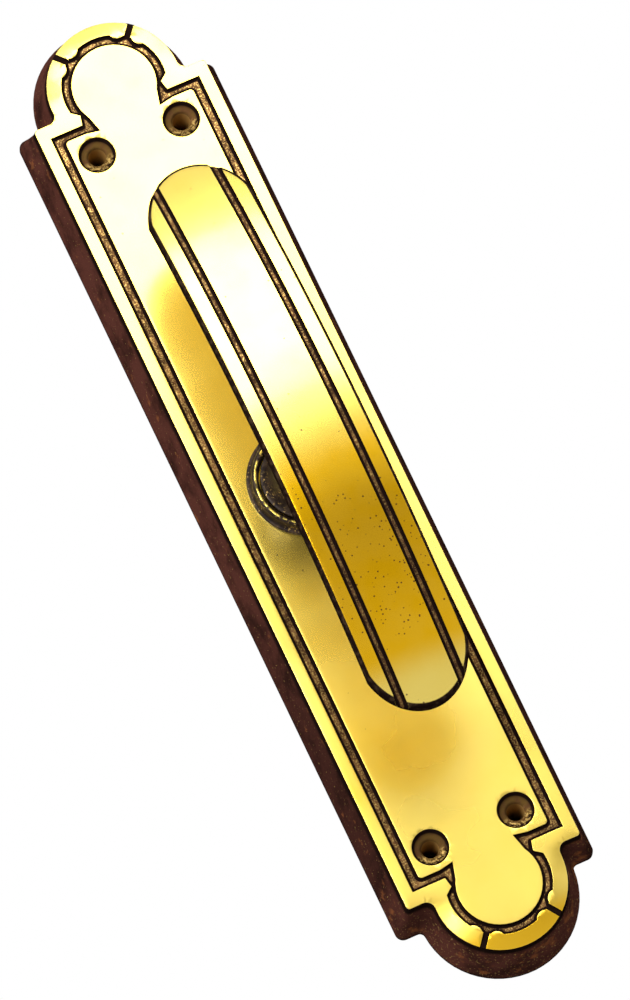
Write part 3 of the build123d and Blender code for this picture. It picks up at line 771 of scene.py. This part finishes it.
    def inner_places(self, tree, level, near, spacing):
        """Places of an uneven grid on the faces at a height, in millimetres and clear of their rim."""
        columns, rows = int(PLATE_HIGH.x / spacing), int(PLATE_HIGH.z / spacing)
        uneven = self.unevenness
        places = []
        for i in range(-columns, columns + 1):
            for j in range(-rows, rows + 1):
                shift = noise.cell_vector(Vector((i + 0.5, j + 0.5, 0.5)))
                x, z = (i + shift.x * uneven) * spacing, (j + shift.y * uneven) * spacing
                clear = near.find((x, 0.0, z))[2] > spacing * self.rim_clearance
                if clear and self.meets(tree, Vector((x, 0.0, z)), level):
                    places.append(Vector((x, z)) / MM)
        return places


class GripBuilder(bpy.types.Operator):
    """Build the arched bar with its two sunk lines and rounded ends"""
    bl_idname = "cremone.grip"
    bl_label = "Grip"

    rim_shares = (0.0, 0.05, 0.14, 0.27, 0.45, 0.69, 1.0)
    rim_reach = 1.06
    belly_steps = 16
    end_steps = 44
    last_end_share = 0.99
    face_steps = 4
    floor_steps = 6
    merge_distance = 0.002 * MM
    shortest_edge = 0.001 * MM
    # The lines are narrow, so their black edges are narrower than the plate's
    shade_narrowing = 1.25

    def execute(self, context):
        self.set = context.scene.cremone_grip
        self.half_width = GRIP_HIGH.x
        self.centre_y = self.set.arch_radius + GRIP_LOW.y
        self.straight = GRIP_HIGH.z - self.set.end_reach
        bm = bmesh.new()
        layers = [bm.verts.layers.float.new(name) for name in GRIP_LAYERS]
        rings = []
        for z, w in self.stations():
            ring = []
            for place, stored in self.ring(z, w):
                vert = bm.verts.new(place)
                for layer, value in zip(layers, stored):
                    vert[layer] = value
                ring.append(vert)
            rings.append(ring)
        bridge(bm, rings)
        bm.faces.new(rings[0])
        bm.faces.new(rings[-1][::-1])
        bmesh.ops.remove_doubles(bm, verts=bm.verts, dist=self.merge_distance)
        bmesh.ops.dissolve_degenerate(bm, edges=bm.edges, dist=self.shortest_edge)
        bmesh.ops.recalc_face_normals(bm, faces=bm.faces)
        mesh = shaded_mesh("grip", bm, radians(40))
        new_piece("bar_grip", mesh, grip_finish(), "handle", "grip_brass", "grip")
        return {"FINISHED"}

    def stations(self):
        """Places along the bar and the half width there."""
        wide = self.half_width * self.set.end_widening
        turns = [pi / 2 * k / self.end_steps for k in range(1, self.end_steps)]
        ends = []
        for a in turns + [pi / 2 * self.last_end_share]:
            ends.append((self.straight + self.set.end_reach * sin(a), min(self.half_width, wide * cos(a))))
        steps = int(self.straight / self.set.grid)
        middle = [(self.straight * k / steps, self.half_width) for k in range(-steps, steps + 1)]
        return [(-z, w) for z, w in reversed(ends)] + middle + ends

    def columns(self, w):
        """Places across the right half at a half width: fixed ones at the line, and ones along the rim."""
        s = self.set
        outer = s.line_inner + s.line_width
        slope = s.line_slope
        marks = [s.line_inner * k / self.face_steps for k in range(self.face_steps)]
        marks += [s.line_inner - slope / 2, s.line_inner]
        floor = s.line_width - slope * 2
        marks += [s.line_inner + slope + floor * k / self.floor_steps for k in range(self.floor_steps + 1)]
        start = outer + slope / 2
        marks += [outer, start]
        rim = s.edge_radius * self.rim_reach
        border = self.half_width - rim - start
        marks += [start + border * k / self.face_steps for k in range(1, self.face_steps)]
        shrink = min(1.0, w / (s.edge_radius * 2))
        edge = [w - rim * share * shrink for share in reversed(self.rim_shares)]
        return [min(m, edge[0]) for m in marks] + edge

    def rim_distance(self, x, z):
        """Distance to the bar's outline in plan, for the rounding of its edge."""
        side = self.half_width - x
        past = abs(z) - self.straight
        if past <= 0:
            return side
        a = self.half_width * self.set.end_widening
        b = self.set.end_reach
        level = sqrt((x / a) ** 2 + (past / b) ** 2)
        slope = sqrt((x / a ** 2) ** 2 + (past / b ** 2) ** 2)
        return max(0.0, min(side, (1 - level) * level / max(slope, 1e-9)))

    def line_depth(self, x):
        """Depth of the sunk line at a place across the bar."""
        s = self.set
        into = min(x - s.line_inner, s.line_inner + s.line_width - x) / s.line_slope
        return s.line_depth * max(0.0, min(1.0, into))

    def fall(self, x, z):
        """How far the face lies under the arch: its crown and its rounded edge."""
        s = self.set
        near = min(1.0, self.rim_distance(x, z) / s.edge_radius)
        crown = s.crown * (x / self.half_width) ** 2
        return crown + s.edge_radius * (1 - sqrt(max(0.0, 1 - (1 - near) ** 2)))

    def face_point(self, x, z):
        """A point of the face and the numbers that its finish reads."""
        s = self.set
        across = abs(x)
        line = self.line_depth(across)
        floor = line > s.line_depth * 0.999
        inside = min(across - s.line_inner, s.line_inner + s.line_width - across) - s.line_slope
        shade = edge_shade(max(0.0, inside) * self.shade_narrowing) if floor else 1.0
        grain = stipple(x, z)
        raised = s.stipple_height * grain * (1.0 - shade) if floor else 0.0
        place = self.point(x, z, self.fall(across, z) + line - raised)
        return place, (line, float(floor), shade, grain, self.rim_distance(across, z))

    def belly_point(self, x, z):
        """A point of the belly, which a flatter arch thins towards the ends."""
        s = self.set
        share = sqrt(max(0.0, 1 - (x / self.half_width) ** 2))
        section = self.point(x, z, s.side_height + (s.thickness - s.side_height) * share)
        half = GRIP_HIGH.z
        belly_y = GRIP_LOW.y + s.thickness - s.belly_flat
        face_fall = s.arch_radius - sqrt(s.arch_radius ** 2 - half ** 2)
        fall = face_fall - (s.thickness - s.belly_flat - s.end_thickness)
        radius = (half ** 2 + fall ** 2) / (fall * 2)
        under_y = belly_y + radius - sqrt(radius ** 2 - z * z)
        return (x, min(section[1], under_y), z), (0.0, 0.0, 1.0, 0.0, 0.0)

    def point(self, x, z, drop):
        """A point at a depth under the arched face."""
        return (x, self.centre_y - sqrt((self.set.arch_radius - drop) ** 2 - z * z), z)

    def ring(self, z, w):
        """One upright slice of the bar as a closed loop of points."""
        right = self.columns(w)
        across = [-x for x in reversed(right[1:])] + right
        top = [self.face_point(x, z) for x in across]
        turns = [pi * k / self.belly_steps for k in range(self.belly_steps + 1)]
        return top + [self.belly_point(w * cos(a), z) for a in turns]


class HubBuilder(bpy.types.Operator):
    """Turn the neck, the bar's pad and the collar and darken them"""
    bl_idname = "cremone.hub"
    bl_label = "Neck and collar"

    base_inset = 0.2 * MM
    # The waist's ends, as shares of the way from the neck's foot to the bar
    waist_shares = (0.30, 0.72)
    throat_steps = 14
    foot_steps = 8
    bead_steps = 12

    def execute(self, context):
        self.set = context.scene.cremone_hub
        self.seat = -NECK_LOW.y - self.set.spigot_length
        material = hub_finish()
        mesh = turned_mesh("neck", self.neck_outline())
        new_piece("turned_neck", mesh, material, "handle", "aged_brass", "neck")
        mesh = turned_mesh("grip_pad", self.pad_outline())
        new_piece("grip_pad", mesh, bpy.data.materials["grip_finish"], "handle", "grip_brass", "grip")
        mesh = turned_mesh("collar", self.collar_outline())
        new_piece("collar", mesh, material, "root", "aged_brass", "collar_ring")
        return {"FINISHED"}

    def neck_outline(self):
        """Half of the neck's outline round its bore, in radius and height."""
        s = self.set
        low, top = -NECK_HIGH.y, -NECK_LOW.y
        base = NECK_HIGH.x - self.base_inset
        foot = -BUSH_LOW.y + s.base_gap
        base_top = foot + s.base_height
        low_waist, high_waist = (foot + (self.seat - foot) * share for share in self.waist_shares)
        points = [(s.bore, low), (s.journal, low), (s.journal, foot), (base - s.edge, foot)]
        points += [(base, foot + s.edge), (base, base_top - s.edge)]
        points += throat(base - s.edge / 2, base_top, s.waist, low_waist, self.throat_steps)
        points += throat(s.head, self.seat, s.waist, high_waist, self.throat_steps)[::-1]
        return points + [(s.spigot_radius, self.seat), (s.spigot_radius, top), (s.bore, top)]

    def pad_outline(self):
        """Half of the round pad under the bar that the neck's head meets."""
        s = self.set
        top = self.seat + s.pad_height * 2
        inner = s.spigot_radius + s.edge
        points = [(inner, self.seat), (s.head - s.edge, self.seat), (s.head, self.seat + s.edge)]
        return points + [(s.head, top), (inner, top)]

    def collar_outline(self):
        """Half of the collar's outline: a foot, a sloping side and a rolled rim."""
        s = self.set
        low, high = -COLLAR_HIGH.y, -COLLAR_LOW.y
        outer = COLLAR_HIGH.x
        rim = outer - s.collar_foot
        foot_top = low + s.collar_foot_height
        middle, half = (rim + s.collar_bore) / 2, (rim - s.collar_bore) / 2
        points = [(s.collar_bore, low), (outer, low), (outer, foot_top - s.edge)]
        points += throat(outer - s.edge, foot_top, rim, high - s.bead, self.foot_steps)
        turns = [pi * k / self.bead_steps for k in range(1, self.bead_steps)]
        points += [(middle + half * cos(a), high - s.bead + s.bead * sin(a)) for a in turns]
        return points + [(s.collar_bore, high - s.bead)]


class GearBuilder(bpy.types.Operator):
    """Finish the gear behind the plate: case, racks, pinion, springs and screws"""
    bl_idname = "cremone.gear"
    bl_label = "Gear"

    def execute(self, context):
        finishes = {name: machined_steel(name, *values) for name, values in STEELS.items()}
        finishes["natural_nylon"] = nylon("natural_nylon")
        for name, nodes in GEAR_PIECES.items():
            for node in nodes:
                slots = frame["nodes"][node].data.materials
                slots.clear()
                slots.append(finishes[name])
        return {"FINISHED"}


class StageBuilder(bpy.types.Operator):
    """Set the floor, the lamps, the white background and the camera"""
    bl_idname = "cremone.stage"
    bl_label = "Stage"

    def execute(self, context):
        settings = context.scene.cremone_stage
        self.camera(context, settings)
        self.floor(settings)
        self.flag(settings)
        # Dark discs behind the screw holes: painted shade
        self.stile()
        self.background(context, settings)
        for name, values in LAMPS.items():
            self.lamp(name, *values)
        context.scene.view_settings.view_transform = "Standard"
        return {"FINISHED"}

    @staticmethod
    def camera(context, settings):
        """The camera at the photograph's angle, turned about its line of sight."""
        a, e = settings.azimuth, settings.elevation
        back = Vector((sin(a) * cos(e), -cos(a) * cos(e), sin(e)))
        level_up = (Vector((0, 0, 1)) - back * back.z).normalized()
        level_right = level_up.cross(back)
        right = level_right * cos(settings.roll) + level_up * sin(settings.roll)
        up = level_up * cos(settings.roll) - level_right * sin(settings.roll)
        data = bpy.data.cameras.new("camera")
        data.lens = settings.lens
        data.clip_start, data.clip_end = 0.1, 50.0
        place = Matrix((right, up, back)).transposed().to_4x4()
        place.translation = Vector(settings.aim) + back * settings.distance
        camera = linked("camera", data)
        camera.matrix_world = place
        context.scene.camera = camera

    @staticmethod
    def floor(settings):
        """A plain pale floor that shows from above only."""
        half = settings.floor_size / 2
        floor = sheet("floor", [(-half, -half, 0), (half, -half, 0), (half, half, 0), (-half, half, 0)])
        floor.location.z = -settings.floor_drop
        fin = Finish("floor")
        diffuse = fin.node("ShaderNodeBsdfDiffuse", sockets={"Color": (0.82, 0.82, 0.81)}).out(0)
        glow = fin.node("ShaderNodeEmission", sockets={"Strength": fin.seen() * settings.floor_glow}).out(0)
        paint = fin.node("ShaderNodeAddShader", sockets={0: diffuse, 1: glow}).out(0)
        below = fin.node("ShaderNodeNewGeometry").out("Backfacing")
        floor.data.materials.append(fin.output(fin.clear_where(below, paint)))

    @staticmethod
    def flag(settings):
        """A card behind the camera, graded from dark above to pale below, seen in the metal only."""
        half = settings.flag_width / 2
        y = -settings.flag_distance
        low, high = settings.flag_low, settings.flag_high
        flag = sheet("flag", [(-half, y, low), (half, y, low), (half, y, high), (-half, y, high)])
        fin = Finish("flag")
        shade = fin.mix(fin.axes()[2].ramp(low, high), (0.86, 0.84, 0.80), (0.42, 0.39, 0.34))
        card = fin.node("ShaderNodeEmission", sockets={"Color": shade}).out(0)
        reflected = fin.node("ShaderNodeLightPath").out("Is Glossy Ray")
        flag.data.materials.append(fin.output(fin.clear_where(1.0 - reflected, card)))

    @staticmethod
    def stile():
        """Dark discs behind the screw holes, painted shade in place of a stile that the plate is screwed to:
        clear from behind.
        """
        overlap = 1.02
        sides = 32
        radius = DOOR_SCREWS["hole_r_mm"] * MM * overlap
        level = PLATE_HIGH.y - 0.1 * MM
        turns = [2 * pi * k / sides for k in range(sides)]
        mesh = bpy.data.meshes.new("stile")
        bm = bmesh.new()
        for x in (-SCREW_X, SCREW_X):
            for z in (-SCREW_Z, SCREW_Z):
                spots = [(x + radius * cos(a), level, z + radius * sin(a)) for a in turns]
                bm.faces.new([bm.verts.new(spot) for spot in spots])
        bm.to_mesh(mesh)
        bm.free()
        stile = linked("stile", mesh)
        fin = Finish("stile")
        grain = fin.noise(900.0, place=fin.stretched((6.0, 1.0, 0.6)))
        # Painted shade seen through the screw holes
        painted_shade = fin.mix(grain, (0.030, 0.016, 0.008), (0.012, 0.007, 0.004))
        dark = fin.node("ShaderNodeBsdfDiffuse", sockets={"Color": painted_shade}).out(0)
        behind = fin.node("ShaderNodeNewGeometry").out("Backfacing")
        mesh.materials.append(fin.output(fin.clear_where(behind, dark)))

    @staticmethod
    def background(context, settings):
        """White for what is looked at, directly or in the metal, and a plain level for the light."""
        world = bpy.data.worlds.new("studio")
        context.scene.world = world
        fin = Finish("studio", world)
        strength = fin.seen() * (1.0 - settings.ambient) + settings.ambient
        light = fin.node("ShaderNodeBackground", sockets={"Color": (1.0, 1.0, 1.0), "Strength": strength})
        fin.node("ShaderNodeOutputWorld", sockets={0: light.out(0)})

    @staticmethod
    def lamp(name, place, size, level):
        """A square-on softbox that faces the part, its level given beside a white of 1."""
        data = bpy.data.lights.new(name, "AREA")
        data.shape = "RECTANGLE"
        data.size, data.size_y = size
        data.energy = level * pi * size[0] * size[1]
        lamp = linked(name, data)
        lamp.location = place
        to_part = Vector((place[0] / 2, 0.0, 0.0)) - Vector(place)
        lamp.rotation_euler = to_part.to_track_quat("-Z", "Y").to_euler()


class CremonePanel(bpy.types.Panel):
    """The cremone bolt's builders in the 3D view's sidebar"""
    bl_idname = "VIEW3D_PT_cremone"
    bl_label = "Cremone bolt"
    bl_space_type = "VIEW_3D"
    bl_region_type = "UI"
    bl_category = "Cremone"

    def draw(self, context):
        for builder in BUILDERS:
            self.layout.operator(builder.bl_idname)
        for name in SETTINGS:
            box = self.layout.box()
            group = getattr(context.scene, name)
            for key in group.__annotations__:
                box.prop(group, key, text=key.replace("_", " ").capitalize())


SETTINGS = {
    "cremone_plate": PlateSettings,
    "cremone_grip": GripSettings,
    "cremone_hub": HubSettings,
    "cremone_finish": FinishSettings,
    "cremone_stage": StageSettings,
}
BUILDERS = (PlateBuilder, GripBuilder, HubBuilder, GearBuilder, StageBuilder)


def register():
    for group in SETTINGS.values():
        bpy.utils.register_class(group)
    for name, group in SETTINGS.items():
        setattr(bpy.types.Scene, name, PointerProperty(type=group))
    for item in BUILDERS + (CremonePanel,):
        bpy.utils.register_class(item)


def unregister():
    for item in reversed(BUILDERS + (CremonePanel,)):
        bpy.utils.unregister_class(item)
    for name, group in SETTINGS.items():
        delattr(bpy.types.Scene, name)
        bpy.utils.unregister_class(group)


def main():
    """Builds the whole scene."""
    register()
    bpy.ops.cremone.plate()
    bpy.ops.cremone.grip()
    bpy.ops.cremone.hub()
    bpy.ops.cremone.gear()
    bpy.ops.cremone.stage()
    bpy.context.view_layer.update()


if __name__ == "__main__":
    main()
